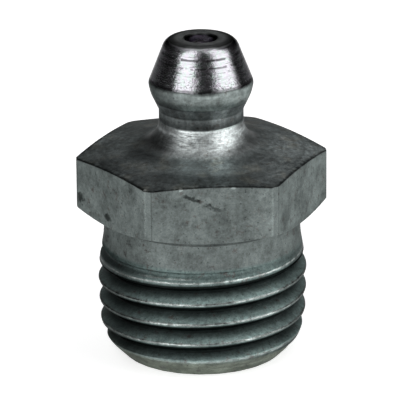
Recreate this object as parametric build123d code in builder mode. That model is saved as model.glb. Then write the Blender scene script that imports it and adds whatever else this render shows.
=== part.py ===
from build123d import *
import os
from math import atan, ceil, cos, degrees, radians, sin, sqrt, tan

# Straight grease nipple with a tapered pipe thread, millimetres, +Z up. The origin is the middle of the
# threaded end's face. Two flats of the hexagon face +Y and -Y, and one corner points along +X.

# ---- Hexagon, turned from 14 mm bar at the middle of its tolerance -------------------------------------
hex_flats = 13.87
hex_height = 3.76  # seat face to the top edge in the middle of a flat
hex_corner_turning = 0.143  # taken off each corner, on the radius
hex_top_slope = 10.3  # degrees, the rise of the turned top towards the neck
hex_chamfer_angle = 21.0  # degrees, under the corners
seat_face_inset = 0.185  # from a flat in to the seat face's edge

# ---- Coupler head and neck -----------------------------------------------------------------------------
neck_dia = 5.3
neck_height = 2.9  # top edge of the hexagon to the top of the neck
flare_radius = 1.72  # between the neck and the top of the hexagon
head_height = 4.54
head_lower_cone_height = 1.59
head_dia = 6.68  # to the sharp corner between the two cones
head_edge_radius = 0.95
crown_dia = 4.39  # to the sharp corner between the upper cone and the flat crown
crown_edge_radius = 0.75

# ---- Shank with a tapered pipe thread R 1/4, rolled, 19 turns to the inch ------------------------------
shank_length = 9.28  # threaded end to the seat face
thread_pitch = 25.4 / 19
thread_flank_angle = 27.5  # degrees, half of the angle between the flanks
thread_taper = 1 / 16  # on the diameter
thread_gauge_dia = 13.18  # over the crests
thread_gauge_height = 5.0
plain_length = 1.8  # under the seat face, where the groove over +X has run out
groove_relief = 0.12  # how far past the collar's surface the groove climbs
collar_length = 1.43  # under the seat face, where the crests have sunk to the collar
collar_inset = 0.489  # from the line of the crests in to the collar
crest_runout_length = 2.45
end_taper_height = 2.2  # the crests are whole from here up
end_taper_inset = 0.45
end_chamfer_height = 1.0
end_chamfer_inset = 0.98

# ---- Grease passage, drilled from both ends ------------------------------------------------------------
orifice_dia = 2.0
orifice_length = 0.65
orifice_chamfer = 0.08
ball_seat_angle = 30.0  # degrees, half of the seat cone's angle
chamber_depth = 7.0  # crown to the shoulder that the spring stands on
outlet_dia = 2.0

# ---- Ball and spring -----------------------------------------------------------------------------------
ball_dia = 2.5
ball_seat_clearance = 0.02
ball_side_clearance = 0.4  # grease flows past the ball here
spring_wire_dia = 0.3
spring_turns = 4.5
spring_side_clearance = 0.25
spring_end_clearance = 0.02

# ---- Heights and radii that follow ---------------------------------------------------------------------
flat_radius = hex_flats / 2
corner_radius = flat_radius / cos(radians(30)) - hex_corner_turning
seat_face_radius = flat_radius - seat_face_inset
neck_radius = neck_dia / 2
hex_top = shank_length + hex_height
neck_top = hex_top + neck_height
head_top = neck_top + head_height
top_slope = tan(radians(hex_top_slope))
chamfer_slope = tan(radians(hex_chamfer_angle))

# Whitworth form: a sharp triangle with a sixth of its height off the crests, and a sharp root
flank_slope = tan(radians(thread_flank_angle))
groove_depth = thread_pitch / 2 / flank_slope * 5 / 6
groove_end = shank_length - plain_length
groove_turns = ceil(groove_end / thread_pitch + 1 / 4)  # the first one starts below the end face


def crest_radius(z):
    return thread_gauge_dia / 2 + (z - thread_gauge_height) * thread_taper / 2


crest_runout_end = shank_length - collar_length
crest_runout_start = crest_runout_end - crest_runout_length
collar_radius = crest_radius(crest_runout_end) - collar_inset
end_chamfer_radius = crest_radius(end_taper_height) - end_taper_inset
end_face_radius = end_chamfer_radius - end_chamfer_inset

chamber_dia = ball_dia + 2 * ball_side_clearance
chamber_floor = head_top - chamber_depth
seat_top = head_top - orifice_length
seat_slope = tan(radians(ball_seat_angle))
ball_radius = ball_dia / 2
seat_apex = seat_top + orifice_dia / 2 / seat_slope
ball_height = seat_apex - (ball_radius + ball_seat_clearance) / sin(radians(ball_seat_angle))

# The ball rests on the inner edge of the spring's top turn.
spring_radius = chamber_dia / 2 - spring_side_clearance - spring_wire_dia / 2
spring_bottom = chamber_floor + spring_end_clearance
spring_dish = sqrt(ball_radius**2 - (spring_radius - spring_wire_dia / 2) ** 2)
spring_length = ball_height - spring_dish - spring_end_clearance - spring_bottom

# ---- Nipple body ---------------------------------------------------------------------------------------
with BuildPart() as nipple_body:
    # Turned blank, from the threaded end up to the crown
    with BuildSketch(Plane.XZ):
        with BuildLine():
            FilletPolyline(
                (0, 0),
                (end_face_radius, 0),
                (end_chamfer_radius, end_chamfer_height),
                (crest_radius(end_taper_height), end_taper_height),
                (crest_radius(crest_runout_start), crest_runout_start),
                (collar_radius, crest_runout_end),
                (collar_radius, shank_length),
                (seat_face_radius, shank_length),
                (corner_radius, shank_length + (corner_radius - seat_face_radius) * chamfer_slope),
                (corner_radius, hex_top - (corner_radius - flat_radius) * top_slope),
                (neck_radius, hex_top + (flat_radius - neck_radius) * top_slope),
                (neck_radius, neck_top),
                (head_dia / 2, neck_top + head_lower_cone_height),
                (crown_dia / 2, head_top),
                (0, head_top),
                radius=[0, 0, 0, 0, 0, 0, 0, 0, 0, flare_radius, 0, head_edge_radius, crown_edge_radius],
            )
            Line((0, head_top), (0, 0))
        make_face()
    revolve(axis=Axis.Z)
    # Thread groove: each turn follows the taper, and the last one climbs out through the collar's surface
    for turn in range(groove_turns):
        turn_start = groove_end - (groove_turns - turn) * thread_pitch
        turn_rise = thread_pitch * thread_taper / 2
        if turn == groove_turns - 1:
            turn_rise = collar_radius + groove_relief - (crest_radius(turn_start) - groove_depth)
        turn_angle = atan(turn_rise / thread_pitch)
        with BuildLine() as groove_path:
            Helix(
                pitch=thread_pitch / cos(turn_angle),
                height=thread_pitch,
                radius=crest_radius(turn_start),
                center=(0, 0, turn_start),
                cone_angle=degrees(turn_angle),
            )
        with BuildSketch(Plane(groove_path.line @ 0, x_dir=(1, 0, 0), z_dir=groove_path.line % 0)):
            # A triangle with its point at the root, half as deep again as the groove
            with BuildLine():
                Polyline(
                    (-groove_depth, 0),
                    (groove_depth / 2, groove_depth * 3 / 2 * flank_slope),
                    (groove_depth / 2, -groove_depth * 3 / 2 * flank_slope),
                    close=True,
                )
            make_face()
        sweep(binormal=Edge.make_line((0, 0, 0), (0, 0, 1)), mode=Mode.SUBTRACT)
    # Hexagon
    with BuildSketch(Plane.XY.offset(shank_length)):
        Circle(2 * corner_radius)
        RegularPolygon(flat_radius, side_count=6, major_radius=False, mode=Mode.SUBTRACT)
    extrude(amount=hex_height, mode=Mode.SUBTRACT)
    # Outlet, spring chamber, ball seat and orifice
    with BuildSketch(Plane.XZ):
        with BuildLine():
            Polyline(
                (0, 0),
                (outlet_dia / 2, 0),
                (outlet_dia / 2, chamber_floor),
                (chamber_dia / 2, chamber_floor),
                (chamber_dia / 2, seat_apex - chamber_dia / 2 / seat_slope),
                (orifice_dia / 2, seat_top),
                (orifice_dia / 2, head_top - orifice_chamfer),
                (orifice_dia / 2 + orifice_chamfer, head_top),
                (0, head_top),
                close=True,
            )
        make_face()
    revolve(axis=Axis.Z, mode=Mode.SUBTRACT)
nipple_body.part.label = "nipple_body"

# ---- Check ball ----------------------------------------------------------------------------------------
with BuildPart(Plane.XY.offset(ball_height)) as check_ball:
    Sphere(ball_radius)
check_ball.part.label = "check_ball"

# ---- Spring of coarse six-sided wire, with both ends ground flat ---------------------------------------
with BuildPart() as ball_spring:
    with BuildLine() as spring_path:
        Helix(
            pitch=spring_length / spring_turns,
            height=spring_length,
            radius=spring_radius,
            center=(0, 0, spring_bottom),
        )
    with BuildSketch(Plane(spring_path.line @ 0, z_dir=spring_path.line % 0)):
        RegularPolygon(spring_wire_dia / 2, side_count=6)
    sweep(is_frenet=True)
    with BuildSketch(Plane.XY.offset(spring_bottom)):
        Circle(chamber_dia / 2)
    extrude(amount=spring_length, mode=Mode.INTERSECT)
ball_spring.part.label = "ball_spring"

os.makedirs("parts", exist_ok=True)
for piece in (nipple_body, check_ball, ball_spring):
    export_step(piece.part, f"parts/{piece.part.label}.step")
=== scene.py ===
"""Straight grease nipple: a zinc-plated steel body with a tapered thread, a check ball and its spring.

Lengths are written in millimetres and turned into metres by MM, and the studio's floor and lights in metres.
The frame is the CAD's: +Z up along the axis, the origin in the middle of the threaded end's face, and one
corner of the hexagon along +X.
"""

from math import ceil, cos, pi, radians, sin, tan
from types import SimpleNamespace

import bmesh
import bpy
from mathutils import Matrix, Vector


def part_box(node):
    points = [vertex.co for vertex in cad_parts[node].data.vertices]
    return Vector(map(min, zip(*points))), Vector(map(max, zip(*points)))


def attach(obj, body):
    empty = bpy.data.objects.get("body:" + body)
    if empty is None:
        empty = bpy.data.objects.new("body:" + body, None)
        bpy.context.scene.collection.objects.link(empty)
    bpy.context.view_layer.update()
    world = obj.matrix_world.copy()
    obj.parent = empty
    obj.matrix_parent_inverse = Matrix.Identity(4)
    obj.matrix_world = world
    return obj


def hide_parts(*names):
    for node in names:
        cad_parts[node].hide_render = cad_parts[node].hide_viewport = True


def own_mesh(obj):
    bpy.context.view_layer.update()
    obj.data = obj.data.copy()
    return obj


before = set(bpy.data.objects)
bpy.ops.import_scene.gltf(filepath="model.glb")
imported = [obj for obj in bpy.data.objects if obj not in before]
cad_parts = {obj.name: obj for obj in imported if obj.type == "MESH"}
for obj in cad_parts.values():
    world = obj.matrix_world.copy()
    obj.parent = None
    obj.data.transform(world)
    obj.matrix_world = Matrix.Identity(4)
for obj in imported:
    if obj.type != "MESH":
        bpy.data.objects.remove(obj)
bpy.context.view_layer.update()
MM = 0.001

# ---- Sizes, in millimetres -----------------------------------------------------------------------------
body_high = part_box("nipple_body")[1] / MM
head_top = body_high.z
corner_radius = body_high.x
flat_radius = body_high.y
hex_edge_radius = 0.06
hex_corner_blend = 0.02
hex_height = 3.76
hex_top_slope = tan(radians(10.3))
hex_chamfer_slope = tan(radians(21.0))
seat_face_inset = 0.185
seat_edge_rounding = 0.04
hex_foot_rounding = 0.05

neck_radius = 2.65
neck_height = 2.9
neck_corner_rounding = 0.1
flare_radius = 1.72
head_height = 4.54
head_grip_height = 1.056  # neck up to the corner where the coupler's jaws grip
head_grip_radius = 3.154
head_grip_rounding = 2.0
head_edge_height = 1.702  # neck up to the widest corner
head_edge_sharp_radius = 3.297
head_edge_rounding = 0.6
crown_radius = 2.195
crown_edge_radius = 0.75
neck_top = head_top - head_height
hex_top = neck_top - neck_height
shank_length = hex_top - hex_height

thread_pitch = 25.4 / 19
thread_flank_angle = radians(27.5)
thread_round_radius = 0.1373 * thread_pitch
thread_root_depth = 5 / 6  # from the crests, as a share of the sharp V's height
thread_gauge_radius = 6.59
thread_gauge_height = 5.0
thread_taper = 1 / 32  # on the radius
groove_end = shank_length - 1.8
groove_relief = 0.12
groove_lean = 0.2
collar_radius = 6.19
crest_runout_end = shank_length - 1.43
crest_runout_length = 2.45
end_face_radius = 5.07
end_ring_radius = 4.4
end_taper_rise = 0.66
end_taper_slope = 0.36
blank_edge_blend = 0.1

orifice_radius = 1.0
orifice_length = 0.65
orifice_chamfer = 0.08
orifice_edge_rounding = 0.03
ball_seat_slope = tan(radians(30.0))
chamber_radius = 1.65
chamber_floor = head_top - 7.0
outlet_radius = 1.0

spring_low, spring_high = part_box("ball_spring")
spring_coil_radius = 1.25
spring_wire_radius = 0.15
spring_turns = 4.5

column_crowding = 0.7  # 0 spaces the mesh's columns evenly, and near 1 they crowd at the hexagon's corners
weld_distance = 0.001
sharp_edge_angle = radians(35)
spring_sharp_angle = radians(40)

# Where the finish changes. A pair runs from where the change starts to where it is done.
# The front below is the side the camera looks from, and the painted light and shade are placed from it.
front_turn = radians(5.07)  # from -Y round to the side that the marks below are placed from
polish_edge = neck_top + 1.92
grip_edge = neck_top + 0.68
# Bottom of the neck's painted shade, where the flare's tone starts.
neck_shade_bottom = neck_top - 0.72
cone_pits_edge = (neck_top + 2.36, neck_top + 2.86)
flare_foot_edge = (hex_top + 1.56, hex_top + 1.96)
thread_edge = (shank_length - 2.08, shank_length - 1.78)
end_edge = (0.9, 1.5)
end_tint_edge = (1.1, 1.3)
shank_inside_edge = (5.2, 5.4)  # on the radius
front_flat_edge = (6.7, 6.8)  # to the front
left_flat_edge = (-4.6, -4.4)  # to the right
darkest_tone = 0.004

# Marks on the finish
cone_rings = (  # height, width, strength
    (head_top - 0.74, 0.09, 0.75),
    (head_top - 1.21, 0.08, 0.6),
    (head_top - 1.53, 0.04, 0.4),
)
# Glints are painted on the nicks at these places.
nick_places = (-4.1, -1.92, 1.33, 2.37, 3.93)  # along the front edge
nick_height = hex_top - 0.09


# ---- Formulas as nodes ---------------------------------------------------------------------------------
class Field:
    """A value that varies over a mesh or a surface. Arithmetic on it becomes Math nodes of its tree."""

    def __init__(self, tree, socket):
        self.tree = tree
        self.socket = socket

    def __add__(self, other):
        return math_node(self.tree, "ADD", self, other)

    def __sub__(self, other):
        return math_node(self.tree, "SUBTRACT", self, other)

    def __mul__(self, other):
        return math_node(self.tree, "MULTIPLY", self, other)

    def __truediv__(self, other):
        return math_node(self.tree, "DIVIDE", self, other)

    def __radd__(self, other):
        return math_node(self.tree, "ADD", other, self)

    def __rsub__(self, other):
        return math_node(self.tree, "SUBTRACT", other, self)

    def __rmul__(self, other):
        return math_node(self.tree, "MULTIPLY", other, self)

    def __rtruediv__(self, other):
        return math_node(self.tree, "DIVIDE", other, self)

    def apply(self, operation, *others):
        return math_node(self.tree, operation, self, *others)


def plug(tree, socket, value):
    """Gives a node's input a field, an output socket or a plain value."""
    if isinstance(value, Field):
        tree.links.new(value.socket, socket)
    elif isinstance(value, bpy.types.NodeSocket):
        tree.links.new(value, socket)
    else:
        socket.default_value = value


def math_node(tree, operation, *values):
    node = tree.nodes.new("ShaderNodeMath")
    node.operation = operation
    for socket, value in zip(node.inputs, values):
        plug(tree, socket, value)
    return Field(tree, node.outputs["Value"])


def add_node(tree, kind, inputs=None, **settings):
    """A new node with its settings made and its named or numbered inputs plugged."""
    node = tree.nodes.new(kind)
    for name, value in settings.items():
        setattr(node, name, value)
    for name, value in (inputs or {}).items():
        plug(tree, node.inputs[name], value)
    return node


def geometry_tree(name, sizes, counts, materials):
    """A Geometry Nodes tree with named inputs. Returns the tree, its input node and its output node."""
    tree = bpy.data.node_groups.new(name, "GeometryNodeTree")
    tree.interface.new_socket(name="Geometry", in_out="INPUT", socket_type="NodeSocketGeometry")
    for names, kind in ((sizes, "Float"), (counts, "Int"), (materials, "Material")):
        for each in names:
            tree.interface.new_socket(name=each, in_out="INPUT", socket_type=f"NodeSocket{kind}")
    tree.interface.new_socket(name="Geometry", in_out="OUTPUT", socket_type="NodeSocketGeometry")
    return tree, tree.nodes.new("NodeGroupInput"), tree.nodes.new("NodeGroupOutput")


def grown(tree, name, start_mesh, values):
    """The plain mesh object that a Geometry Nodes tree makes from a start mesh."""
    source = bpy.data.objects.new(name, start_mesh)
    bpy.context.scene.collection.objects.link(source)
    modifier = source.modifiers.new(name, "NODES")
    modifier.node_group = tree
    for item in tree.interface.items_tree:
        if item.in_out == "INPUT" and item.name in values:
            modifier[item.identifier] = values[item.name]
    depsgraph = bpy.context.evaluated_depsgraph_get()
    evaluated = source.evaluated_get(depsgraph)
    mesh = bpy.data.meshes.new_from_object(evaluated, preserve_all_data_layers=True, depsgraph=depsgraph)
    source.modifiers.remove(modifier)
    source.data = mesh
    mesh.name = name
    return source


def moved_to(tree, geometry, x, y, z):
    """The geometry with its points sent to new places."""
    place = add_node(tree, "ShaderNodeCombineXYZ", {0: x, 1: y, 2: z})
    moved = add_node(tree, "GeometryNodeSetPosition", {"Geometry": geometry, "Position": place.outputs[0]})
    return moved.outputs["Geometry"]


def end_tree(tree, geometry, given, result):
    """Ends a tree with real geometry in its finish."""
    real = add_node(tree, "GeometryNodeRealizeInstances", {"Geometry": geometry})
    finished = add_node(
        tree, "GeometryNodeSetMaterial",
        {"Geometry": real.outputs["Geometry"], "Material": given.outputs["Finish"]},
    )
    tree.links.new(finished.outputs["Geometry"], result.inputs["Geometry"])


# ---- Outline of the turned surfaces --------------------------------------------------------------------
def outline_corner(radius, height, rounding=0.0, follow=0.0, rise=0.0):
    """A corner of the outline. follow says how far it moves in with the flats, and rise how it climbs."""
    return {"place": Vector((radius, height)), "rounding": rounding, "follow": follow, "rise": rise}


def rounded_outline(corners, arc_step=radians(7), fewest_steps=4, longest_hold=0.05):
    """(radius, height, follow, rise) along the outline, with each rounded corner as an arc.

    A short straight step before and after each arc keeps the shading of the long faces flat."""
    points = []
    for before, corner, after in zip([None, *corners], corners, [*corners[1:], None]):
        place, rounding = corner["place"], corner["rounding"]
        stay = (corner["follow"], corner["rise"])
        if not rounding:
            points.append((*place, *stay))
            continue
        back = (before["place"] - place).normalized()
        ahead = (after["place"] - place).normalized()
        half = back.angle(ahead) / 2
        centre = place + (back + ahead).normalized() * rounding / sin(half)
        start = place + back * rounding / tan(half)
        end = place + ahead * rounding / tan(half)
        turn = (start - centre).angle_signed(end - centre)
        steps = max(fewest_steps, ceil(abs(turn) / arc_step))
        hold = min(rounding / 2, longest_hold)
        points.append((*(start + back * hold), *stay))
        for step in range(steps + 1):
            arm = (start - centre).copy()
            arm.rotate(Matrix.Rotation(-turn * step / steps, 2))
            points.append((*(centre + arm), *stay))
        points.append((*(end + ahead * hold), *stay))
    return points


def turned_corners():
    """From under the hexagon up over the head, and down through the passage to the threaded end."""
    seat_radius = flat_radius - seat_face_inset
    chamfer_rise = (corner_radius - seat_radius) * hex_chamfer_slope
    edge_drop = (corner_radius - flat_radius) * hex_top_slope
    flare_height = hex_top + (flat_radius - neck_radius) * hex_top_slope
    seat_top = head_top - orifice_length
    seat_apex = seat_top + orifice_radius / ball_seat_slope
    return [
        outline_corner(collar_radius, shank_length),
        outline_corner(seat_radius, shank_length, seat_edge_rounding),
        outline_corner(corner_radius, shank_length + chamfer_rise, hex_foot_rounding, 1, -hex_chamfer_slope),
        outline_corner(corner_radius, hex_top - edge_drop, hex_edge_radius, 1, hex_top_slope),
        outline_corner(neck_radius, flare_height, flare_radius),
        outline_corner(neck_radius, neck_top, neck_corner_rounding),
        outline_corner(head_grip_radius, neck_top + head_grip_height, head_grip_rounding),
        outline_corner(head_edge_sharp_radius, neck_top + head_edge_height, head_edge_rounding),
        outline_corner(crown_radius, head_top, crown_edge_radius),
        outline_corner(orifice_radius + orifice_chamfer, head_top, orifice_edge_rounding),
        outline_corner(orifice_radius, head_top - orifice_chamfer, orifice_edge_rounding),
        outline_corner(orifice_radius, seat_top),
        outline_corner(chamber_radius, seat_apex - chamber_radius / ball_seat_slope),
        outline_corner(chamber_radius, chamber_floor),
        outline_corner(outlet_radius, chamber_floor),
        outline_corner(outlet_radius, 0),
        outline_corner(end_ring_radius, 0),
    ]


def outline_mesh():
    """The outline's points as bare vertices in the XZ plane, with their follow and rise as attributes."""
    points = rounded_outline(turned_corners())
    mesh = bpy.data.meshes.new("outline")
    mesh.from_pydata([(radius * MM, 0, height * MM) for radius, height, _, _ in points], [], [])
    for name, values in (("follow", [p[2] for p in points]), ("rise", [p[3] for p in points])):
        mesh.attributes.new(name, "FLOAT", "POINT").data.foreach_set("value", values)
    return mesh


# ---- Nipple body ---------------------------------------------------------------------------------------
def column_angle(across):
    """The columns' angles round the axis. They stand closer together at the hexagon's corners."""
    even = (across + 0.5) * (2 * pi)
    return even - (even * 6).apply("SINE") * (column_crowding / 6)


def grid_place(tree):
    """How far across and along a flat grid its points lie, each from -0.5 to 0.5."""
    position = add_node(tree, "GeometryNodeInputPosition")
    split = add_node(tree, "ShaderNodeSeparateXYZ", {0: position.outputs[0]})
    return Field(tree, split.outputs[0]), Field(tree, split.outputs[1])


def grid(tree, columns, rows):
    """A flat grid one unit wide and long, with one column more than asked for, to close it round the axis."""
    flat = add_node(
        tree, "GeometryNodeMeshGrid",
        {"Size X": 1.0, "Size Y": 1.0, "Vertices X": columns + 1, "Vertices Y": rows},
    )
    return flat.outputs["Mesh"]


def wrapped(tree, flat, angle, radius, height):
    """Sends a flat grid's points to their places round the axis."""
    return moved_to(tree, flat, radius * angle.apply("COSINE"), radius * angle.apply("SINE"), height)


def turned_surfaces(tree, outline, size):
    """Turns the outline round the axis, and pulls its points in where the hexagon's flats are cut."""
    count = add_node(tree, "GeometryNodeAttributeDomainSize", {"Geometry": outline})
    point_count = Field(tree, count.outputs["Point Count"])
    flat = grid(tree, size["Columns"], point_count)
    across, along = grid_place(tree)
    angle = column_angle(across)
    row = ((along + 0.5) * (point_count - 1)).apply("ROUND")

    def on_outline(name, kind):
        """The outline's own value at this row."""
        value = add_node(tree, "GeometryNodeInputNamedAttribute", {"Name": name}, data_type=kind)
        sample = add_node(
            tree, "GeometryNodeSampleIndex",
            {"Geometry": outline, "Value": value.outputs["Attribute"], "Index": row}, data_type=kind,
        )
        return sample.outputs["Value"]

    place = add_node(tree, "ShaderNodeSeparateXYZ", {0: on_outline("position", "FLOAT_VECTOR")})
    from_flat = (angle.apply("MODULO", pi / 3) - pi / 6).apply("ABSOLUTE")
    reach = (size["Flat radius"] / from_flat.apply("COSINE")).apply(
        "SMOOTH_MIN", size["Corner radius"], size["Corner blend"]
    )
    pulled_in = size["Corner radius"] - reach
    radius = Field(tree, place.outputs[0]) - Field(tree, on_outline("follow", "FLOAT")) * pulled_in
    height = Field(tree, place.outputs[2]) + Field(tree, on_outline("rise", "FLOAT")) * pulled_in
    return wrapped(tree, flat, angle, radius, height)


def crest_line(size, height):
    """The radius of the tapered thread's crests at a height."""
    return size["Gauge radius"] + (height - size["Gauge height"]) * size["Taper"]


def blank_radius(size, height):
    """The shank before the thread is rolled: crest line, run-out to the collar and rounded-off end."""
    runout_start = size["Run-out end"] - size["Run-out length"]
    runout_drop = crest_line(size, runout_start) - size["Collar radius"]
    runout_left = (size["Run-out end"] - height) / size["Run-out length"]
    runout_line = size["Collar radius"] + runout_left * runout_drop
    upper_line = runout_line.apply("SMOOTH_MAX", size["Collar radius"], size["Edge blend"])
    end_line = size["End face radius"] + height
    end_taper_line = size["End face radius"] + size["End taper rise"] + height * size["End taper slope"]
    end_blend = size["Edge blend"] * 3
    return (
        crest_line(size, height)
        .apply("SMOOTH_MIN", upper_line, size["Edge blend"])
        .apply("SMOOTH_MIN", end_line, end_blend)
        .apply("SMOOTH_MIN", end_taper_line, end_blend)
    )


def groove_radius(size, height, climb):
    """The thread's groove: a V that is rounded at its root and at the crests beside it.

    Over its last turn the groove climbs out through the surface and leans a little."""
    count = ((height - climb - size["Groove end"]) / size["Pitch"]).apply("ROUND")
    middle = size["Groove end"] + climb + count * size["Pitch"]
    climb_out = (middle - (size["Groove end"] - size["Pitch"])).apply("MAXIMUM", 0.0) / size["Pitch"]
    aside = (height - middle + climb_out * climb_out * size["Groove lean"]).apply("ABSOLUTE")

    steepness = 1 / size["Flank angle"].apply("TANGENT")
    sharp_height = size["Pitch"] / 2 * steepness
    root_depth = sharp_height * thread_root_depth
    tangent_width = size["Round radius"] * size["Flank angle"].apply("COSINE")
    centre_offset = size["Round radius"] / size["Flank angle"].apply("SINE")
    last_root = crest_line(size, size["Groove end"]) - root_depth
    climbed_root = size["Collar radius"] + size["Groove relief"] + size["Round radius"] - centre_offset
    root = crest_line(size, middle) - root_depth + climb_out * (climbed_root - last_root)

    def rounded_flank(distance):
        """Height of a V's flank above its sharp point, with an arc over the point."""
        near = distance.apply("MINIMUM", tangent_width)
        arc = (size["Round radius"] * size["Round radius"] - near * near).apply("SQRT")
        return centre_offset - arc + (distance - near) * steepness

    beside_crest = (size["Pitch"] / 2 - aside).apply("MAXIMUM", 0.0)
    return root + rounded_flank(aside) + sharp_height - rounded_flank(beside_crest) - aside * steepness


def threaded_shank(tree, size):
    """Rows that climb with the thread, up to the collar's top. Those past the end face lie flat on it."""
    row_height = size["Pitch"] / size["Rows a turn"]
    row_count = ((size["Shank length"] + size["Pitch"] * 2) / row_height).apply("CEIL")
    flat = grid(tree, size["Columns"], row_count + 1)
    across, along = grid_place(tree)
    angle = column_angle(across)
    climb = size["Pitch"] * angle / (2 * pi)
    loose_height = (along + 0.5) * row_count * row_height - size["Pitch"] * 2 + climb
    height = loose_height.apply("MINIMUM", size["Shank length"]).apply("MAXIMUM", 0.0)
    past_end = (loose_height * -1).apply("MAXIMUM", 0.0)
    groove = groove_radius(size, height, climb)
    radius = blank_radius(size, height).apply("SMOOTH_MIN", groove, size["Edge blend"])
    radius = (radius - past_end).apply("MAXIMUM", size["End ring radius"])
    return wrapped(tree, flat, angle, radius, height)


def body_tree():
    """Turns the outline round the axis, cuts the hexagon's flats and rolls the tapered thread."""
    sizes = [
        "Flat radius", "Corner radius", "Corner blend", "Shank length", "Collar radius",
        "Pitch", "Flank angle", "Round radius", "Gauge radius", "Gauge height", "Taper",
        "Groove end", "Groove relief", "Groove lean", "Run-out end", "Run-out length",
        "End face radius", "End ring radius", "End taper rise", "End taper slope", "Edge blend",
        "Weld distance",
    ]
    counts = ["Columns", "Rows a turn"]
    tree, given, result = geometry_tree("turned and threaded", sizes, counts, ["Finish"])
    size = {name: Field(tree, given.outputs[name]) for name in [*sizes, *counts]}
    joined = add_node(tree, "GeometryNodeJoinGeometry")
    tree.links.new(turned_surfaces(tree, given.outputs["Geometry"], size), joined.inputs["Geometry"])
    tree.links.new(threaded_shank(tree, size), joined.inputs["Geometry"])
    welded = add_node(
        tree, "GeometryNodeMergeByDistance",
        {"Geometry": joined.outputs["Geometry"], "Distance": size["Weld distance"]},
    )
    end_tree(tree, welded.outputs["Geometry"], given, result)
    return tree


def nipple_body(finish):
    values = {
        "Flat radius": flat_radius * MM,
        "Corner radius": corner_radius * MM,
        "Corner blend": hex_corner_blend * MM,
        "Shank length": shank_length * MM,
        "Pitch": thread_pitch * MM,
        "Flank angle": thread_flank_angle,
        "Round radius": thread_round_radius * MM,
        "Gauge radius": thread_gauge_radius * MM,
        "Gauge height": thread_gauge_height * MM,
        "Taper": thread_taper,
        "Groove end": groove_end * MM,
        "Groove relief": groove_relief * MM,
        "Groove lean": groove_lean * MM,
        "Collar radius": collar_radius * MM,
        "Run-out end": crest_runout_end * MM,
        "Run-out length": crest_runout_length * MM,
        "End face radius": end_face_radius * MM,
        "End ring radius": end_ring_radius * MM,
        "End taper rise": end_taper_rise * MM,
        "End taper slope": end_taper_slope,
        "Edge blend": blank_edge_blend * MM,
        "Weld distance": weld_distance * MM,
        "Columns": 240,
        "Rows a turn": 26,
        "Finish": finish,
    }
    body = grown(body_tree(), "body", outline_mesh(), values)
    body.data.shade_smooth()
    body.data.set_sharp_from_angle(angle=sharp_edge_angle)
    return body


# ---- Patterns and coats that the finishes share --------------------------------------------------------
def surface(name):
    """A new material. Returns it with its tree, its shader and the place on the object in millimetres."""
    material = bpy.data.materials.new(name)
    material.use_nodes = True
    tree = material.node_tree
    shader = tree.nodes["Principled BSDF"]
    shader.inputs["Metallic"].default_value = 1
    coordinates = add_node(tree, "ShaderNodeTexCoord")
    place = add_node(
        tree, "ShaderNodeVectorMath", {0: coordinates.outputs["Object"], 3: 1 / MM}, operation="SCALE"
    )
    return material, tree, shader, place.outputs["Vector"]


def coat(tree, shader, tint, tone, roughness, relief):
    """Gives the shader its colour, a tint times a tone, its roughness, and its relief in millimetres."""
    colour = add_node(tree, "ShaderNodeVectorMath", {0: tint, 1: tone}, operation="MULTIPLY")
    bump = add_node(tree, "ShaderNodeBump", {"Distance": MM, "Height": relief})
    plug(tree, shader.inputs["Base Color"], colour.outputs["Vector"])
    plug(tree, shader.inputs["Roughness"], roughness)
    plug(tree, shader.inputs["Normal"], bump.outputs["Normal"])


def stretched(tree, place, x, y, z):
    """The place with each direction scaled, so that a pattern on it runs long one way."""
    return add_node(
        tree, "ShaderNodeVectorMath", {0: place, 1: (x, y, z)}, operation="MULTIPLY"
    ).outputs["Vector"]


def noise(tree, place, scale, detail=2.0, roughness=0.5):
    """Soft noise about 0.5, with scale as its waves a millimetre."""
    texture = add_node(
        tree, "ShaderNodeTexNoise",
        {"Vector": place, "Scale": scale, "Detail": detail, "Roughness": roughness},
    )
    return Field(tree, texture.outputs["Fac"])


def step_up(value, low, high):
    """0 below low and 1 above high, with a smooth rise between."""
    node = add_node(
        value.tree, "ShaderNodeMapRange", {"Value": value, "From Min": low, "From Max": high},
        interpolation_type="SMOOTHSTEP", clamp=True,
    )
    return Field(value.tree, node.outputs["Result"])


def step_down(value, low, high):
    return 1 - step_up(value, low, high)


def mixed(tree, share, first, second):
    """A colour or a value between two, as a socket."""
    colour = isinstance(first, tuple) or (
        isinstance(first, bpy.types.NodeSocket) and first.type == "RGBA"
    )
    node = tree.nodes.new("ShaderNodeMix")
    node.data_type = "RGBA" if colour else "FLOAT"
    names = {socket.identifier: socket for socket in node.inputs}
    kind = "Color" if colour else "Float"
    plug(tree, names["Factor_Float"], share)
    for side, value in (("A", first), ("B", second)):
        plug(tree, names[f"{side}_{kind}"], (*value, 1) if isinstance(value, tuple) else value)
    results = {socket.identifier: socket for socket in node.outputs}
    return results[f"Result_{kind}"]


def between(value, low, high, soft):
    """1 from low to high and 0 outside, with edges as soft as given."""
    return step_up(value, low - soft, low + soft) * step_down(value, high - soft, high + soft)


def layered(tree, lowest, *layers):
    """A value or a colour with others laid over it: each layer is (how much of it shows, the value)."""
    shown = lowest
    for share, value in layers:
        shown = mixed(tree, share, shown, value)
        if shown.type != "RGBA":
            shown = Field(tree, shown)
    return shown


def pitted(tree, place, scale, amount):
    """Ragged pits and stains, with scale as their waves a millimetre. They spread as amount grows."""
    depth = noise(tree, place, scale, 5.0, 0.68)
    return step_down(depth, 0.3 + amount * 0.1, 0.38 + amount * 0.1)


def spot(across, up, centre, width, height):
    """A soft oval spot on a surface that across and up run over."""
    a, b = (across - centre[0]) / (width / 2), (up - centre[1]) / (height / 2)
    return step_down(a * a + b * b, 0.2, 1.6)


def scratch(across, up, start, end, width):
    """A straight scratch from start to end, with soft ends."""
    run = Vector(end) - Vector(start)
    length = run.length
    run = run / length
    along = (across - start[0]) * run.x + (up - start[1]) * run.y
    aside = ((up - start[1]) * run.x - (across - start[0]) * run.y).apply("ABSOLUTE")
    return step_down(aside, width * 0.2, width) * between(along, 0, length, width)


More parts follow.
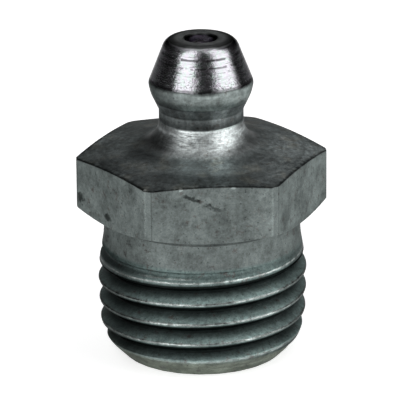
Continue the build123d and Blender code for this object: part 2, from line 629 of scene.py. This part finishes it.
# ---- Zinc plating of the body --------------------------------------------------------------------------
def nipple_places(tree, place):
    """Where a point lies: its height, radius and angle, and how far it is to the right and to the front."""
    split = add_node(tree, "ShaderNodeSeparateXYZ", {0: place})
    x, y, z = (Field(tree, split.outputs[axis]) for axis in range(3))
    radius = (x * x + y * y).apply("SQRT")
    to_right = x * cos(front_turn) - y * sin(front_turn)
    to_front = x * -sin(front_turn) - y * cos(front_turn)
    return SimpleNamespace(
        x=x, y=y, z=z, radius=radius, angle=y.apply("ARCTAN2", x),
        to_right=to_right, to_front=to_front, round_side=to_right / radius,
    )


def turned_noise(at, per_radian, per_millimetre, detail=3.0, roughness=0.5, along=None):
    """Noise that runs round the axis, as marks of turning do."""
    run = add_node(
        at.z.tree, "ShaderNodeCombineXYZ",
        {
            0: at.x / at.radius * per_radian,
            1: at.y / at.radius * per_radian,
            2: (along or at.z) * per_millimetre,
        },
    )
    return noise(at.z.tree, run.outputs[0], 1.0, detail, roughness)


def nipple_patterns(tree, place, at):
    """What makes the finish uneven. Pits, scores and sparkle are 1 where they are. The rest vary about 0."""
    return SimpleNamespace(
        waver=(noise(tree, place, 2.5, 4.0) - 0.5) * 0.16,
        blotches=noise(tree, place, 0.7, 4.0, 0.6) - 0.5,
        mottle=noise(tree, place, 3.2, 5.0, 0.65) - 0.5,
        grain=noise(tree, place, 10.0, 3.0, 0.6) - 0.5,
        smears=noise(tree, stretched(tree, place, 1.0, 1.0, 0.5), 2.4, 4.0, 0.65) - 0.5,
        highlight_streaks=noise(tree, stretched(tree, place, 1.0, 1.0, 2.0), 3.0, 4.0, 0.7) - 0.5,
        rings=turned_noise(at, 2.0, 4.0, 4.0, 0.6, along=at.radius + at.z) - 0.5,
        fine_rings=turned_noise(at, 5.0, 13.0, 4.0, 0.65) - 0.5,
        rays=turned_noise(at, 9.0, 0.8, along=at.radius) - 0.5,
        pits=pitted(tree, place, 1.9, 0.4),
        small_pits=pitted(tree, place, 5.5, 0.3),
        thread_pits=pitted(tree, place, 8.0, 0.55),
        cone_pits=pitted(tree, place, 9.0, 0.9),
        scores=step_down(turned_noise(at, 2.2, 8.0, 5.0, 0.7), 0.34, 0.46),
        ring_breaks=step_up(turned_noise(at, 5.0, 1.0), 0.42, 0.5),
        sparkle=step_up(turned_noise(at, 9.0, 5.0, 6.0, 0.8), 0.42, 0.66),
    )


def nipple_zones(at, pattern):
    """How much of each zone's finish a point has, from 0 to 1, and how far it is from the hexagon's edges."""
    z, radius, angle, round_side, waver = at.z, at.radius, at.angle, at.round_side, pattern.waver
    polished = step_up(z + waver, polish_edge - 0.02, polish_edge + 0.02)
    crown = step_up(z + waver * 0.4, head_top - 0.15, head_top - 0.06)
    # Lower edge of the neck's painted shade, a little higher on the right.
    neck_shade_edge = neck_shade_bottom + step_up(round_side, 0.2, 0.7) * 0.07
    neck = step_up(z - neck_shade_edge, -0.03, 0.03) * step_down(z, grip_edge - 0.03, grip_edge + 0.03)

    from_flat = (angle.apply("FLOORED_MODULO", pi / 3) - pi / 6).apply("ABSOLUTE")
    past_corner = (angle + pi / 6).apply("FLOORED_MODULO", pi / 3) - pi / 6
    inside_flat = flat_radius - radius * from_flat.apply("COSINE")
    under_edge = hex_top + (flat_radius - radius) * hex_top_slope - z
    above_seat = step_up(z, shank_length, shank_length + 0.02)
    flats = step_down(inside_flat, 0.03, 0.06) * step_up(under_edge, 0.02, 0.05) * above_seat
    slope = (
        step_down(under_edge, 0.0, 0.05) * step_up(z, hex_top - 0.5, hex_top - 0.4)
        * step_down(z, hex_top + 0.9, hex_top + 1.1)
    )
    under_hexagon = step_down(z, hex_top, hex_top + 0.5) * (1 - above_seat)
    on_thread = step_up(z, *end_edge) * step_down(z, *thread_edge) * step_up(radius, *shank_inside_edge)
    cone = polished * (1 - crown)
    return SimpleNamespace(
        polished=polished, crown=crown, cone=cone, dull=1 - cone,
        cone_top=between(z, head_top - 0.53, head_top - 0.18, 0.05),
        gripped=between(z + waver * 0.6, grip_edge, polish_edge, 0.03),
        neck=neck,
        flare=between(z, hex_top + 0.7, neck_shade_bottom, 0.1),
        flare_foot=step_up(z, hex_top - 0.4, hex_top - 0.3) * step_down(z, *flare_foot_edge),
        slope=slope, flats=flats, above_seat=above_seat, inside_flat=inside_flat, under_edge=under_edge,
        corner=flats * step_up(radius, corner_radius - 0.02, corner_radius - 0.01),
        # Lines beside each corner for a painted highlight and a painted shade.
        corner_highlight=flats * between(past_corner, -0.022, -0.002, 0.006),
        corner_shade=flats * between(past_corner, 0.024, 0.034, 0.006),
        under_hexagon=under_hexagon, collar=under_hexagon * (1 - on_thread), on_thread=on_thread,
        left=step_down(round_side, -0.9, -0.3), right=step_up(round_side, 0.3, 0.7),
    )


def thread_zones(at, pattern, on_thread):
    """Crest, flanks and root of the whole thread, and the lines on the land above the groove's end, where
    highlights are painted.

    The thread is measured in turns down from where the groove ends. A whole number is the groove's root. The
    groove grows shallow over its last turn."""
    climb_out = (at.angle / (2 * pi)).apply("FLOORED_MODULO", 1.0)
    turns_down = (groove_end - at.z) / thread_pitch + climb_out - 1
    phase = 1 - turns_down.apply("FRACT")
    still_deep = step_down(climb_out, 0.25, 0.6) * step_up(turns_down, -0.66, -0.6)
    full_form = step_up(turns_down, 0.44, 0.52).apply("MAXIMUM", still_deep)
    last_land = on_thread * (1 - full_form) * step_up(turns_down, -0.1, 0.0)
    land_place = turns_down + pattern.mottle * 0.05
    short_line = between(land_place, 0.2, 0.25, 0.03) * between(at.round_side, -0.6, -0.1, 0.1)
    whole = on_thread * full_form
    crest = between(phase + pattern.mottle * 0.1, 0.53, 0.61, 0.04)
    return SimpleNamespace(
        whole=whole, crest=crest, crest_line=whole * crest,
        upper_flank=step_up(phase, 0.5, 0.6), down_upper_flank=step_up(phase, 0.62, 0.97),
        lower_flank=between(phase, 0.04, 0.46, 0.04),
        root=step_up((phase - 0.5).apply("ABSOLUTE"), 0.4, 0.47),
        # Lines on the land where highlights are painted.
        painted_land_highlights=last_land * (between(land_place, 0.38, 0.45, 0.03) + short_line),
    )


def painted_flare_highlights(at, pattern, neck):
    """Painted highlights on the front of the flare: all over, left, right, and along the neck's foot."""
    front = step_up(at.to_front, 0.0, 0.6) * (1 - neck)
    across, streaks = at.to_right + pattern.mottle * 1.5, pattern.fine_rings
    line = between(at.z + pattern.waver * 0.3, neck_shade_bottom - 0.14, neck_shade_bottom - 0.04, 0.03)
    return SimpleNamespace(
        all_over=front * spot(across, at.z + streaks, (0.15, hex_top + 1.46), 5.2, 1.9),
        left=front * spot(across, at.z + streaks * 0.8, (-1.15, hex_top + 1.46), 1.8, 0.9),
        right=front * spot(across, at.z + streaks * 0.6, (1.5, hex_top + 1.81), 2.2, 1.2),
        line=front * line * between(at.round_side + pattern.mottle * 0.3, -0.6, 0.72, 0.08),
    )


def plain_tone(tree, at, pattern, zone, thread, flare_light):
    """How much light each zone gives back. A later layer lies over those before it."""
    streaks, sparkle = pattern.fine_rings * 1.2, pattern.sparkle
    return layered(
        tree, 0.17,
        (step_down(at.z, *end_edge), 0.19),
        # The lower cone is lighter: partly its own duller zinc, partly painted light reflected from the flare
        # below.
        (zone.gripped, 0.26),
        # Painted shade on the neck under the head, darkest at its foot.
        (zone.neck, 0.15 - step_down(at.z, neck_top - 0.6, neck_top + 0.1) * 0.088),
        (zone.flare, 0.3 + pattern.rays * 0.3),
        # Painted highlights on the front of the flare and along the neck's foot.
        (flare_light.all_over, 0.55 + streaks),
        (flare_light.left, 0.34 + streaks),
        (flare_light.right, 0.75 + streaks),
        (flare_light.line, 0.85),
        (zone.polished, 0.62),
        # Painted shade: the crown darkens towards its rounded outer edge.
        (zone.crown, 0.4 - step_up(at.radius, 1.45, 1.8) * 0.3),
        (zone.slope, 0.36),
        (zone.flats, 0.17),
        (zone.corner, 0.19),
        (zone.on_thread, 0.2),
        # Painted shade in the grooves: the upper flanks darken from the crest to the root, and the lower
        # flanks and roots are near black. The crests are lighter, partly worn zinc and partly painted
        # highlight, and the land's lines are painted highlights.
        (thread.whole * thread.upper_flank, 0.47 - thread.down_upper_flank * 0.42),
        (thread.whole * thread.lower_flank, 0.015),
        (thread.crest_line, 0.21 + sparkle * 0.5),
        (thread.whole * thread.root, 0.018),
        (thread.painted_land_highlights, 0.3 + sparkle * 0.6),
    )


# Each of the next functions gives what the tone is multiplied by. All but weathering paint light and shade,
# and the hexagon's sides and the head also carry real stains and marks.
def weathering(pattern, zone):
    """Blotches, grain, smears, marks of turning and pits, wherever couplers haven't polished the zinc."""
    face = zone.flats + zone.collar
    clouds = 1 + face * 0.7 + (zone.gripped + zone.neck) * 0.8
    pits = pattern.pits * (0.3 + zone.collar * zone.left * 0.4)
    specks = pattern.small_pits * (0.4 + face * 0.2) + pattern.thread_pits * zone.on_thread * 0.45
    turning = zone.slope + zone.neck * 0.5 + zone.crown * 0.9 + zone.gripped * 0.8
    return (
        (1 + zone.dull * clouds * (pattern.blotches + pattern.mottle * 0.8))
        * (1 + zone.dull * pattern.grain * 0.8)
        * (1 + (zone.slope + zone.on_thread) * pattern.mottle)
        * (1 + (zone.neck * 1.8 + zone.gripped) * pattern.smears)
        * (1 + turning * pattern.rings)
        * (1 - zone.dull * (pits + specks))
    )


def painted_side_light(at, zone):
    """Painted shade on the left and painted light on the right, with painted shade on the thread's far right.
    """
    left_shade = zone.on_thread * 0.78 + zone.collar * 0.35 + zone.flats * 0.1 + zone.gripped * 0.65
    right_light = zone.neck * 0.25 - zone.collar * 0.05 + zone.flats * 0.2
    far_right = step_up(at.round_side, 0.6, 0.95)
    return (1 - zone.left * left_shade) * (1 + zone.right * right_light) * (1 - far_right * zone.on_thread * 0.55)


def hexagon_top_painted_light(at, pattern, zone):
    """Painted light and shade on the sloped top: lighter far corners and front middle, darker front corners,
    front strip, edges and a ring, and a dark spot at the flare's foot.
    """
    to_right, to_front, rings, slope = at.to_right, at.to_front, pattern.rings, zone.slope
    far_left = step_down(to_right, -6.4, -4.4) * step_down(to_front, -2.5, -0.5)
    aside = to_right.apply("ABSOLUTE")
    front_corners = step_up(to_front + rings, 0.7, 2.4) * step_up(aside + rings * 2, 1.2, 2.8)
    front_strip = step_up(to_front + rings * 1.5, 4.7, 5.8)
    edge_ring = between(at.radius + rings * 1.2, 5.7, 6.6, 0.25)
    edge_shade = step_down(zone.inside_flat + pattern.mottle * 0.8, 0.1, 1.1)
    edge_line = (slope + zone.flats).apply("MINIMUM", 1.0) * step_down(zone.under_edge, 0.0, 0.06)
    edge_line = edge_line * step_down(zone.inside_flat + pattern.mottle * 0.4, 0.06, 0.26)
    return (
        (1 + slope * (step_up(to_right, 2.8, 6.2) + far_left) * 1.2)
        * (1 - slope * front_corners * 0.42)
        * (1 + slope * spot(to_right, to_front, (0.2, 4.2), 6.0, 2.4) * 0.5)
        * (1 - zone.flare_foot * spot(to_right, to_front, (-3.0, 1.0), 3.2, 4.4) * 0.6)
        * (1 - slope * front_strip * 0.25)
        * (1 - slope * edge_ring * 0.2)
        * (1 - slope * edge_shade * 0.3)
        * (1 - edge_line * 0.75)
    )


def hexagon_side_stains_and_shade(at, pattern, zone):
    """Scratches and stains on the flats, painted highlight and shade lines beside the corners, and painted
    shade on the collar just under the hexagon.
    """
    x, y, up, mottle = at.x, at.y, at.z - hex_top, pattern.mottle
    front_flat = zone.flats * step_up(at.to_front, *front_flat_edge)
    left_flat = zone.flats * step_down(at.to_right, *left_flat_edge)
    stains = front_flat * (
        scratch(x + mottle * 0.4, up + mottle * 0.4, (-1.74, -0.5), (-0.7, -0.93), 0.17)
        + scratch(x + mottle * 0.8, up + mottle * 0.8, (-0.52, -1.13), (0.64, -1.51), 0.2) * 0.7
        + spot(x, up + mottle * 0.2, (2.36, -2.75), 0.5, 0.25) * 0.6
    )
    stains = stains + left_flat * (
        spot(y + mottle, up + mottle, (-0.58, -2.58), 0.7, 0.7)
        + spot(y + mottle, up + mottle, (-3.18, -3.04), 0.6, 0.4)
    )
    # Painted shade on the collar just under the hexagon.
    from_seat = at.z - shank_length + at.to_front * 0.033 + mottle * 0.1
    seat_shade = step_up(from_seat, -0.18, -0.14) * zone.under_hexagon
    return (
        (1 - stains.apply("MINIMUM", 1.0) * 0.75)
        # Painted highlight and painted shade beside the corners.
        * (1 + zone.corner_highlight * (0.15 + pattern.grain * 2.5))
        * (1 - zone.corner_shade * (0.45 + mottle))
        * (1 - seat_shade * 0.5)
    )


def neck_and_flare_painted_light(at, pattern, zone, flare_light):
    """Painted shade as dark lines round the neck's ends and on the flare's sides, a painted highlight streak
    down the neck, and streaks in the flare's painted highlights.
    """
    z, round_side = at.z, at.round_side
    streak = between(round_side + pattern.mottle * 0.1, 0.25, 0.56, 0.12)
    head_line = between(z, grip_edge - 0.05, grip_edge + 0.02, 0.03)
    top_line = step_down((z - neck_top).apply("ABSOLUTE"), 0.02, 0.1) * step_down(round_side, 0.0, 0.3)
    flare_top = between(z, neck_top - 1.05, grip_edge, 0.1) * (1 - zone.neck)
    flare_sides = step_down(round_side, -0.68, -0.34) * 0.62 + step_up(round_side, 0.72, 0.9) * 0.5
    return (
        (1 + zone.neck * streak * 1.1)
        * (1 - head_line * 0.35)
        * (1 - top_line * 0.35)
        * (1 - flare_top * flare_sides)
        * (1 + flare_light.all_over * (pattern.highlight_streaks * 1.6 + 0.08))
    )


def head_marks_and_shade(at, pattern, zone):
    """Rings, scores and pits on the polished cone and a dark line along its lower edge, with painted shade on
    the cone's sides, the crown's rim at the sides and round the orifice, darkest at its back.
    """
    z, round_side, cone = at.z, at.round_side, zone.cone
    cone_sides = step_up(round_side, 0.64, 0.8) + step_down(round_side, -0.8, -0.55)
    cone_edge = step_down((z + pattern.waver - polish_edge - 0.05).apply("ABSOLUTE"), 0.04, 0.16)
    crown_rim = between(z, head_top - 0.22, head_top - 0.03, 0.03)
    crown_rim = crown_rim * step_up(round_side.apply("ABSOLUTE"), 0.25, 0.6)
    orifice_rim = step_down(at.radius - orifice_radius, 0.05, 0.15)
    orifice_rim = orifice_rim * step_up(z, head_top - 0.2, head_top - 0.1)
    # Painted shade on the cone's sides, the crown's rim and round the orifice.
    shade = (
        (1 - cone * cone_sides * 0.75)
        * (1 - cone * (pattern.scores * 0.5 - pattern.fine_rings * 0.6))
        * (1 - cone * pattern.cone_pits * step_down(z, *cone_pits_edge) * 0.6)
        * (1 - cone_edge * 0.6)
        * (1 - crown_rim * 0.7)
        * (1 - orifice_rim * (0.5 + step_down(at.to_front, -0.4, 0.3) * 0.35))
    )
    for height, width, strength in cone_rings:
        ring = step_down((z - height + pattern.rings * 0.25).apply("ABSOLUTE"), width * 0.3, width)
        shade = shade * (1 - cone * ring * pattern.ring_breaks * strength)
    return shade


def nick_glints(at, pattern, zone):
    """Painted glints on small nicks along the front top edge of the hexagon, which are added to the tone."""
    front_edge = step_up(at.to_front, *front_flat_edge) * zone.above_seat
    across, up = at.x + pattern.mottle * 0.4, at.z + pattern.mottle * 0.3
    nicks = [spot(across, up, (place, nick_height), 0.3, 0.14) for place in nick_places]
    return front_edge * sum(nicks[1:], nicks[0]) * 0.25


def zinc_tint(tree, at, pattern, zone, thread):
    """The colour cast of each zone: bluish green for the most part, and yellower blotches and end."""
    return layered(
        tree, (0.91, 1.05, 1.02),
        (zone.neck + zone.slope, (0.92, 1.03, 1.03)),
        (zone.slope * step_up(pattern.blotches, 0.0, 0.15), (0.97, 1.02, 0.95)),
        (zone.flare, (0.95, 1.02, 1.02)),
        (zone.polished, (0.98, 0.98, 1.04)),
        (zone.cone * step_up(pattern.mottle, 0.02, 0.1), (0.9, 1.0, 0.98)),
        (zone.cone * step_down(pattern.mottle, -0.1, -0.03), (0.98, 0.93, 1.03)),
        (zone.crown, (0.96, 1.0, 1.0)),
        (step_down(at.z, *end_tint_edge), (0.96, 1.08, 0.92)),
        (zone.on_thread, (0.83, 1.12, 1.08)),
        # The tint of the crests and of the land's painted highlights.
        (thread.crest_line + thread.painted_land_highlights, (0.95, 1.03, 1.0)),
        (pattern.pits * zone.dull, (0.98, 1.0, 0.96)),
    )


def zinc_roughness(tree, pattern, zone, thread):
    """Smooth on the polished cone and the thread's worn crests, and satin or dull elsewhere."""
    turning = pattern.rings + pattern.fine_rings
    roughness = layered(
        tree, 0.5,
        (zone.gripped, 0.36),
        (zone.flare, 0.42),
        (zone.polished, 0.11 + pattern.scores * 0.12 + turning * 0.25 + zone.cone_top * 0.1),
        (zone.crown, 0.36),
        (zone.slope, 0.38),
        (zone.on_thread, 0.55),
        (thread.crest_line, 0.28),
        (thread.painted_land_highlights, 0.28),
    )
    return roughness + pattern.mottle * 0.2 * zone.dull


def zinc_relief(pattern, zone, flare_light):
    """Grain that stands up, pits that go in, and fine turning where the zinc is polished and under the
    flare's painted highlights.
    """
    dull = pattern.grain * 0.007 - pattern.pits * 0.006 - pattern.small_pits * 0.003
    polished = pattern.fine_rings * 0.012 + pattern.mottle * 0.02
    highlight_relief = pattern.fine_rings * 0.012 + pattern.grain * 0.01
    return zone.dull * dull + zone.cone * polished + flare_light.all_over * highlight_relief


def zinc_plating():
    """Dull zinc over drawn, turned and rolled steel, polished by couplers on the upper cone of the head."""
    material, tree, shader, place = surface("zinc plating")
    at = nipple_places(tree, place)
    pattern = nipple_patterns(tree, place, at)
    zone = nipple_zones(at, pattern)
    thread = thread_zones(at, pattern, zone.on_thread)
    # Painted highlights on the front of the flare.
    flare_light = painted_flare_highlights(at, pattern, zone.neck)
    # Painted light and shade come from the plain tone's layers and from all factors but weathering.
    tone = (
        plain_tone(tree, at, pattern, zone, thread, flare_light)
        * weathering(pattern, zone)
        * painted_side_light(at, zone)
        * hexagon_top_painted_light(at, pattern, zone)
        * hexagon_side_stains_and_shade(at, pattern, zone)
        * neck_and_flare_painted_light(at, pattern, zone, flare_light)
        * head_marks_and_shade(at, pattern, zone)
    )
    tone = (tone + nick_glints(at, pattern, zone)).apply("MAXIMUM", darkest_tone)
    tint = zinc_tint(tree, at, pattern, zone, thread)
    roughness = zinc_roughness(tree, pattern, zone, thread)
    coat(tree, shader, tint, tone, roughness, zinc_relief(pattern, zone, flare_light))
    chalky = zone.on_thread * (1 - thread.lower_flank) * (1 - thread.root) * (1 - thread.crest)
    plug(tree, shader.inputs["Metallic"], 1 - chalky * 0.5)
    shader.inputs["Specular Tint"].default_value = (0.4, 0.4, 0.4, 1)
    return material


# ---- Check ball ----------------------------------------------------------------------------------------
def hardened_steel():
    """The ball: smooth steel, dark with old grease that thins out in patches."""
    material, tree, shader, place = surface("hardened steel")
    grease = step_up(noise(tree, place, 1.6, 4.0, 0.6), 0.36, 0.58)
    smears = noise(tree, stretched(tree, place, 2.0, 7.0, 2.0), 1.0, 4.0, 0.6) - 0.5
    specks = pitted(tree, place, 7.0, 0.3)
    tone = (0.12 - grease * 0.07) * (1 + smears * 0.9) * (1 - specks * 0.4)
    tint = layered(tree, (1.0, 0.98, 1.02), (grease, (1.12, 0.8, 1.3)))
    roughness = 0.2 + grease * 0.16 + smears * 0.1
    coat(tree, shader, tint, tone, roughness, smears * 0.004 + grease * 0.006)
    return material


def check_ball(finish):
    ball_low, ball_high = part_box("check_ball")
    ball = bmesh.new()
    bmesh.ops.create_icosphere(ball, subdivisions=5, radius=(ball_high.z - ball_low.z) / 2)
    bmesh.ops.translate(ball, verts=ball.verts, vec=(ball_low + ball_high) / 2)
    mesh = bpy.data.meshes.new("ball")
    ball.to_mesh(mesh)
    ball.free()
    mesh.shade_smooth()
    mesh.materials.append(finish)
    piece = bpy.data.objects.new("ball", mesh)
    bpy.context.scene.collection.objects.link(piece)
    return piece


# ---- Spring --------------------------------------------------------------------------------------------
def spring_tree():
    """Winds round wire into a coil and grinds both of its ends flat."""
    sizes = ["Bottom", "Length", "Coil radius", "Wire radius", "Turns"]
    counts = ["Steps a turn", "Wire sides"]
    tree, given, result = geometry_tree("wound spring", sizes, counts, ["Finish"])
    size = {name: Field(tree, given.outputs[name]) for name in [*sizes, *counts]}
    coil = add_node(
        tree, "GeometryNodeCurveSpiral",
        {
            "Resolution": size["Steps a turn"], "Rotations": size["Turns"], "Height": size["Length"],
            "Start Radius": size["Coil radius"], "End Radius": size["Coil radius"], "Reverse": False,
        },
    )
    wire = add_node(
        tree, "GeometryNodeCurvePrimitiveCircle",
        {"Resolution": size["Wire sides"], "Radius": size["Wire radius"]}, mode="RADIUS",
    )
    wound = add_node(
        tree, "GeometryNodeCurveToMesh",
        {"Curve": coil.outputs["Curve"], "Profile Curve": wire.outputs["Curve"], "Fill Caps": True},
    )
    position = add_node(tree, "GeometryNodeInputPosition")
    split = add_node(tree, "ShaderNodeSeparateXYZ", {0: position.outputs[0]})
    height = Field(tree, split.outputs[2])
    ground_height = height.apply("MAXIMUM", 0.0).apply("MINIMUM", size["Length"]) + size["Bottom"]
    ground = moved_to(tree, wound.outputs["Mesh"], split.outputs[0], split.outputs[1], ground_height)
    end_tree(tree, ground, given, result)
    return tree


def ball_spring(finish):
    values = {
        "Bottom": spring_low.z,
        "Length": spring_high.z - spring_low.z,
        "Coil radius": spring_coil_radius * MM,
        "Wire radius": spring_wire_radius * MM,
        "Turns": spring_turns,
        "Steps a turn": 48,
        "Wire sides": 14,
        "Finish": finish,
    }
    spring = grown(spring_tree(), "spring", bpy.data.meshes.new("spring start"), values)
    spring.data.shade_smooth()
    spring.data.set_sharp_from_angle(angle=spring_sharp_angle)
    return spring


def spring_steel():
    """Drawn wire with fine marks along it, under a patchy film of grease, and ground ends."""
    material, tree, shader, place = surface("spring steel")
    height = Field(tree, add_node(tree, "ShaderNodeSeparateXYZ", {0: place}).outputs[2])
    drawn = noise(tree, stretched(tree, place, 3.0, 3.0, 30.0), 1.0, 3.0, 0.6) - 0.5
    film = step_up(noise(tree, place, 1.3, 3.0, 0.6), 0.4, 0.6)
    specks = pitted(tree, place, 9.0, 0.4)
    ends = (height - spring_low.z / MM).apply("MINIMUM", spring_high.z / MM - height)
    ground = step_down(ends, 0.01, 0.03)
    tone = (0.34 - film * 0.16 + ground * 0.2) * (1 + drawn * 0.7) * (1 - specks * 0.4)
    tint = layered(tree, (1.0, 0.99, 0.96), (film, (1.06, 0.98, 0.84)))
    coat(tree, shader, tint, tone, 0.3 + film * 0.15 + drawn * 0.1, drawn * 0.004 - specks * 0.003)
    return material


# ---- Studio --------------------------------------------------------------------------------------------
camera_azimuth = radians(-95.07)


def direction(azimuth, elevation):
    """The unit vector that points that way from the origin."""
    return Vector((cos(azimuth) * cos(elevation), sin(azimuth) * cos(elevation), sin(elevation)))


def camera():
    """A long lens above the front flat, a little to its left."""
    elevation, roll = radians(19.64), radians(-0.46)
    distance = 273.6
    picture_pixels, focal_pixels = 400, 4369
    aside, below = 0.118, 3.067  # of the hexagon's top from the picture's middle
    aim = Vector((0, 0, hex_top))
    outward = direction(camera_azimuth, elevation)
    right = Vector((-sin(camera_azimuth), cos(camera_azimuth), 0))
    up = outward.cross(right)
    place = aim + outward * distance - right * aside - up * below
    turn = Matrix((right, up, outward)).transposed().to_4x4() @ Matrix.Rotation(roll, 4, "Z")
    data = bpy.data.cameras.new("camera")
    data.sensor_width = 36
    data.lens = data.sensor_width * focal_pixels / picture_pixels
    data.clip_start = 0.01
    data.clip_end = 20
    view = bpy.data.objects.new("camera", data)
    view.matrix_world = Matrix.Translation(place * MM) @ turn
    bpy.context.scene.collection.objects.link(view)
    bpy.context.scene.camera = view


def softbox(name, aside, elevation, distance, width, height, radiance):
    """A rectangular light, aside degrees to the right of the camera. At elevation 0 it's on the floor."""
    outward = direction(camera_azimuth + radians(aside), radians(elevation))
    place = outward * distance
    if not elevation:
        place.z = height / 2
    data = bpy.data.lights.new(name, "AREA")
    data.shape = "RECTANGLE"
    data.size = width
    data.size_y = height
    data.energy = radiance * pi * width * height
    lamp = bpy.data.objects.new(name, data)
    lamp.matrix_world = Matrix.Translation(place) @ outward.to_track_quat("Z", "Y").to_matrix().to_4x4()
    lamp.visible_camera = False
    bpy.context.scene.collection.objects.link(lamp)


def floor_paper():
    """Pale paper with a painted glow, which the camera and the metal see as bright near the nipple and greyer
    far away.
    """
    material = bpy.data.materials.new("studio floor")
    material.use_nodes = True
    tree = material.node_tree
    tree.nodes.clear()
    paper = add_node(tree, "ShaderNodeBsdfDiffuse", {"Color": (0.8, 0.8, 0.8, 1)})
    ray = add_node(tree, "ShaderNodeLightPath")
    seen = (
        Field(tree, ray.outputs["Is Camera Ray"])
        .apply("MAXIMUM", Field(tree, ray.outputs["Is Glossy Ray"]))
        .apply("MAXIMUM", Field(tree, ray.outputs["Is Transmission Ray"]))
    )
    near_glow, far_glow = 0.72, 0.2
    coordinates = add_node(tree, "ShaderNodeTexCoord")
    away = add_node(tree, "ShaderNodeVectorMath", {0: coordinates.outputs["Object"]}, operation="LENGTH")
    nearness = step_down(Field(tree, away.outputs["Value"]), 0.09, 0.4)
    brightness = far_glow + nearness * (near_glow - far_glow)
    glow = add_node(tree, "ShaderNodeEmission", {"Strength": seen * brightness})
    both = add_node(tree, "ShaderNodeAddShader", {0: paper.outputs[0], 1: glow.outputs[0]})
    add_node(tree, "ShaderNodeOutputMaterial", {"Surface": both.outputs[0]})
    return material


def studio_floor(flat=2.6, rim=0.16, rim_steps=8, spin_steps=96):
    """A round floor, whose rim turns up a little far away.

    It lies a hair below the end face, so that the two don't share a plane."""
    level = -0.01 * MM
    turns = [pi / 2 * step / rim_steps for step in range(rim_steps + 1)]
    profile = [(0.0, level), (0.5, level)]
    profile += [(flat + rim * sin(turn), level + rim * (1 - cos(turn))) for turn in turns]
    shape = bmesh.new()
    points = [shape.verts.new((radius, 0, height)) for radius, height in profile]
    edges = [shape.edges.new(pair) for pair in zip(points, points[1:])]
    bmesh.ops.spin(shape, geom=points + edges, cent=(0, 0, 0), axis=(0, 0, 1), angle=2 * pi, steps=spin_steps)
    bmesh.ops.remove_doubles(shape, verts=shape.verts[:], dist=1e-5)
    bmesh.ops.recalc_face_normals(shape, faces=shape.faces[:])
    mesh = bpy.data.meshes.new("studio floor")
    shape.to_mesh(mesh)
    shape.free()
    mesh.shade_smooth()
    mesh.materials.append(floor_paper())
    floor = bpy.data.objects.new("studio_floor", mesh)
    bpy.context.scene.collection.objects.link(floor)


def studio(ambient=0.045):
    """Two tall softboxes beside the nipple, a weaker one above its back, and a dim room."""
    bpy.context.scene.view_settings.view_transform = "Standard"
    world = bpy.data.worlds.new("studio")
    world.use_nodes = True
    world.node_tree.nodes["Background"].inputs["Color"].default_value = (ambient, ambient, ambient, 1)
    bpy.context.scene.world = world
    studio_floor()
    softbox("left softbox", aside=-39, elevation=0, distance=0.4, width=0.34, height=1.3, radiance=1.5)
    softbox("right softbox", aside=65.5, elevation=0, distance=0.4, width=0.42, height=1.3, radiance=1.5)
    softbox("rear softbox", aside=180, elevation=68, distance=0.7, width=1.0, height=0.8, radiance=0.6)


body = nipple_body(zinc_plating())
ball = check_ball(hardened_steel())
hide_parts("check_ball")
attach(ball, "ball")
spring = ball_spring(spring_steel())
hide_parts("ball_spring")
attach(spring, "nipple")
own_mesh(spring)
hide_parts("nipple_body")
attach(body, "nipple")
camera()
studio()
